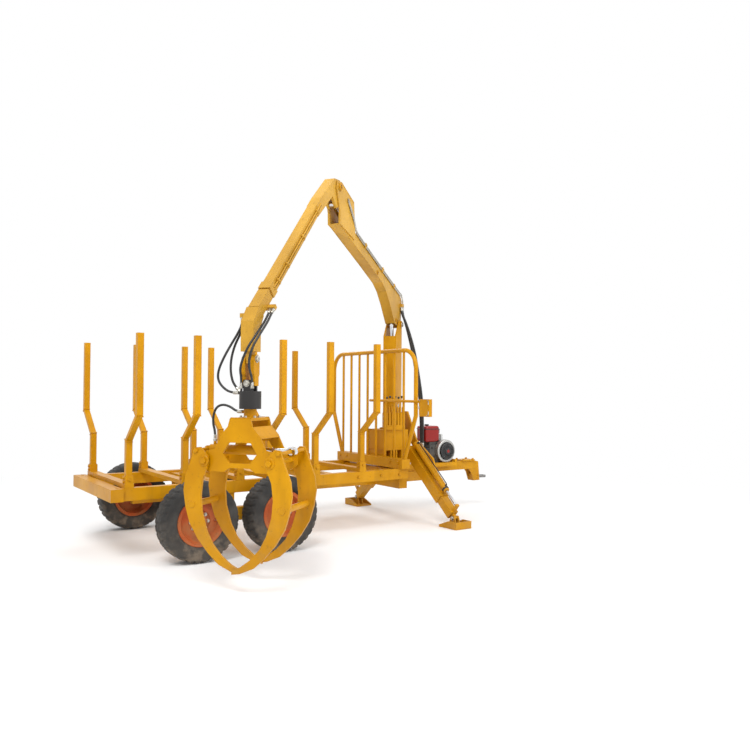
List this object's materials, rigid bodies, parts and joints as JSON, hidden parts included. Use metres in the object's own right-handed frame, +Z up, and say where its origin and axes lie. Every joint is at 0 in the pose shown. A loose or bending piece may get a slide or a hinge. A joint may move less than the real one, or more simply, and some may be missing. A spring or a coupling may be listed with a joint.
{
  "type": "log trailer with grapple loader",
  "caption": "Two-axle bogie log trailer with stakes, headboard, drawbar, engine pack, leg stabilizers and a slewing crane with log grapple.",
  "frame": {"origin": "middle of the whole part at rest, on the ground under the tyres and feet", "axes": "+X towards the tractor along the drawbar, +Y to the trailer's left, +Z up"},
  "size_m": [5.355, 3.8356, 3.817],
  "materials": {
    "tyre": "matt",
    "rim_orange": "semi-gloss",
    "chrome_rod": "polished",
    "hose_black": "matt",
    "black_paint": "semi-gloss",
    "red_paint": "gloss",
    "engine_black": "matt",
    "engine_grey": "cast",
    "yellow_paint": "semi-gloss"
  },
  "bodies": {
    "trailer": {"main_frame": "yellow_paint", "bunks_rear": "yellow_paint", "bunks_front": "yellow_paint", "headboard": "yellow_paint", "axle": "yellow_paint", "bogie_beams": "yellow_paint", "drawbar": "yellow_paint", "towing_eye": "yellow_paint", "crane_base": "yellow_paint", "leg_sleeve_left": "yellow_paint", "leg_sleeve_right": "yellow_paint", "leg_barrel_left": "yellow_paint", "leg_barrel_right": "yellow_paint", "engine_bed": "yellow_paint", "engine_block": "engine_grey", "fuel_tank": "red_paint", "engine_fan": "engine_black", "control_box": "yellow_paint", "valve_bank": "yellow_paint", "hydraulic_pump": "yellow_paint", "hose_supply": "hose_black", "hose_return": "hose_black"},
    "wheel_rear_left": {"tyre_rear_left": "tyre", "rim_rear_left": "rim_orange"},
    "wheel_rear_right": {"tyre_rear_right": "tyre", "rim_rear_right": "rim_orange"},
    "wheel_front_left": {"tyre_front_left": "tyre", "rim_front_left": "rim_orange"},
    "wheel_front_right": {"tyre_front_right": "tyre", "rim_front_right": "rim_orange"},
    "leg_left": {"leg_left": "yellow_paint", "leg_rod_left": "chrome_rod"},
    "leg_right": {"leg_right": "yellow_paint", "leg_rod_right": "chrome_rod"},
    "column": {"column": "yellow_paint"},
    "lift_barrel": {"lift_barrel": "yellow_paint"},
    "lift_rod": {"lift_rod": "chrome_rod"},
    "boom": {"boom": "yellow_paint"},
    "jib_barrel": {"jib_barrel": "yellow_paint"},
    "jib_rod": {"jib_rod": "chrome_rod"},
    "jib": {"jib": "yellow_paint"},
    "extension": {"extension": "yellow_paint", "hose_outer": "hose_black", "hose_second": "hose_black", "hose_inner": "hose_black", "hose_front": "hose_black"},
    "link": {"link": "yellow_paint"},
    "rotator": {"rotator": "black_paint"},
    "grapple": {"grapple_frame": "yellow_paint", "hose_grapple": "hose_black"},
    "claw_right": {"claw_right": "yellow_paint"},
    "claw_left": {"claw_left": "yellow_paint"},
    "grip_barrel": {"grip_barrel": "yellow_paint"},
    "grip_rod": {"grip_rod": "chrome_rod"}
  },
  "joints": [
    {"name": "wheel_rear_left_spin", "type": "hinge", "parent": "trailer", "child": "wheel_rear_left", "pos_m": [-1.9565, 1.74033, 0.38], "axis": [0, 1, 0], "continuous": true},
    {"name": "wheel_rear_right_spin", "type": "hinge", "parent": "trailer", "child": "wheel_rear_right", "pos_m": [-1.9565, -0.27967, 0.38], "axis": [0, 1, 0], "continuous": true},
    {"name": "wheel_front_left_spin", "type": "hinge", "parent": "trailer", "child": "wheel_front_left", "pos_m": [-1.0855, 1.74033, 0.38], "axis": [0, 1, 0], "continuous": true},
    {"name": "wheel_front_right_spin", "type": "hinge", "parent": "trailer", "child": "wheel_front_right", "pos_m": [-1.0855, -0.27967, 0.38], "axis": [0, 1, 0], "continuous": true},
    {"name": "leg_left_slide", "type": "slide", "parent": "trailer", "child": "leg_left", "axis": [0, -0.7547, 0.6561], "range_m": [0, 0.21]},
    {"name": "leg_right_slide", "type": "slide", "parent": "trailer", "child": "leg_right", "axis": [0, 0.7547, 0.6561], "range_m": [0, 0.21]},
    {"name": "slew", "type": "hinge", "parent": "trailer", "child": "column", "pos_m": [1.0565, 0.73033, 1.3], "axis": [0, 0, 1], "range_deg": [0, 270], "deforming": ["hose_supply", "hose_return"]},
    {"name": "boom_lift", "type": "hinge", "parent": "column", "child": "boom", "pos_m": [1.11794, 0.77335, 2.47], "axis": [-0.5736, 0.8192, 0], "range_deg": [-20, 35], "deforming": ["hose_supply", "hose_return"]},
    {"name": "lift_barrel_swing", "type": "hinge", "parent": "column", "child": "lift_barrel", "pos_m": [1.02783, 0.71026, 1.42], "axis": [-0.5736, 0.8192, 0], "range_deg": [-1.31, 2.16]},
    {"name": "lift_rod_slide", "type": "slide", "parent": "lift_barrel", "child": "lift_rod", "axis": [-0.0112, -0.0078, 0.9999], "range_m": [-0.04153, 0.07118]},
    {"name": "jib_fold", "type": "hinge", "parent": "boom", "child": "jib", "pos_m": [-0.55313, -0.39675, 3.735], "axis": [0.5736, -0.8192, 0], "range_deg": [-60, 8]},
    {"name": "jib_barrel_swing", "type": "hinge", "parent": "boom", "child": "jib_barrel", "pos_m": [0.43394, 0.29441, 3.025], "axis": [-0.5736, 0.8192, 0], "range_deg": [-0.35, 1.5]},
    {"name": "jib_rod_slide", "type": "slide", "parent": "jib_barrel", "child": "jib_rod", "axis": [-0.7539, -0.5279, 0.3912], "range_m": [-0.02671, 0.18735]},
    {"name": "jib_extend", "type": "slide", "parent": "jib", "child": "extension", "axis": [-0.5834, -0.4085, -0.702], "range_m": [0, 0.6]},
    {"name": "link_swing", "type": "hinge", "parent": "extension", "child": "link", "pos_m": [-1.94487, -1.37125, 1.87], "axis": [-0.5736, 0.8192, 0], "range_deg": [-60, 60], "deforming": ["hose_outer", "hose_second", "hose_inner", "hose_front"]},
    {"name": "link_sway", "type": "hinge", "parent": "link", "child": "rotator", "pos_m": [-1.94487, -1.37125, 1.669], "axis": [0.8192, 0.5736, 0], "range_deg": [-30, 30], "deforming": ["hose_outer", "hose_second", "hose_inner", "hose_front"]},
    {"name": "rotator_turn", "type": "hinge", "parent": "rotator", "child": "grapple", "pos_m": [-1.94487, -1.37125, 1.46], "axis": [0, 0, 1], "continuous": true},
    {"name": "claw_right_open", "type": "hinge", "parent": "grapple", "child": "claw_right", "pos_m": [-1.76821, -1.62355, 1.041], "axis": [-0.8192, -0.5736, 0], "range_deg": [0, 60], "deforming": ["hose_grapple"]},
    {"name": "claw_left_open", "type": "hinge", "parent": "grapple", "child": "claw_left", "pos_m": [-2.12154, -1.11895, 1.041], "axis": [0.8192, 0.5736, 0], "range_deg": [0, 60]},
    {"name": "grip_barrel_swing", "type": "hinge", "parent": "claw_left", "child": "grip_barrel", "pos_m": [-2.16627, -1.05506, 1.121], "axis": [-0.8192, -0.5736, 0], "range_deg": [0, 60]},
    {"name": "grip_rod_slide", "type": "slide", "parent": "grip_barrel", "child": "grip_rod", "axis": [0.5736, -0.8192, 0], "range_m": [-0.21249, 0.002]}
  ],
  "couplings": [
    {"joint": "lift_barrel_swing", "follows": "boom_lift", "ratio": 0.05685},
    {"joint": "lift_rod_slide", "follows": "boom_lift", "m_per_rad": 0.11325},
    {"joint": "jib_barrel_swing", "follows": "jib_fold", "ratio": -0.0222},
    {"joint": "jib_rod_slide", "follows": "jib_fold", "m_per_rad": -0.177},
    {"joint": "claw_left_open", "follows": "claw_right_open", "ratio": 1},
    {"joint": "grip_barrel_swing", "follows": "claw_right_open", "ratio": 1},
    {"joint": "grip_rod_slide", "follows": "claw_right_open", "m_per_rad": -0.201}
  ]
}
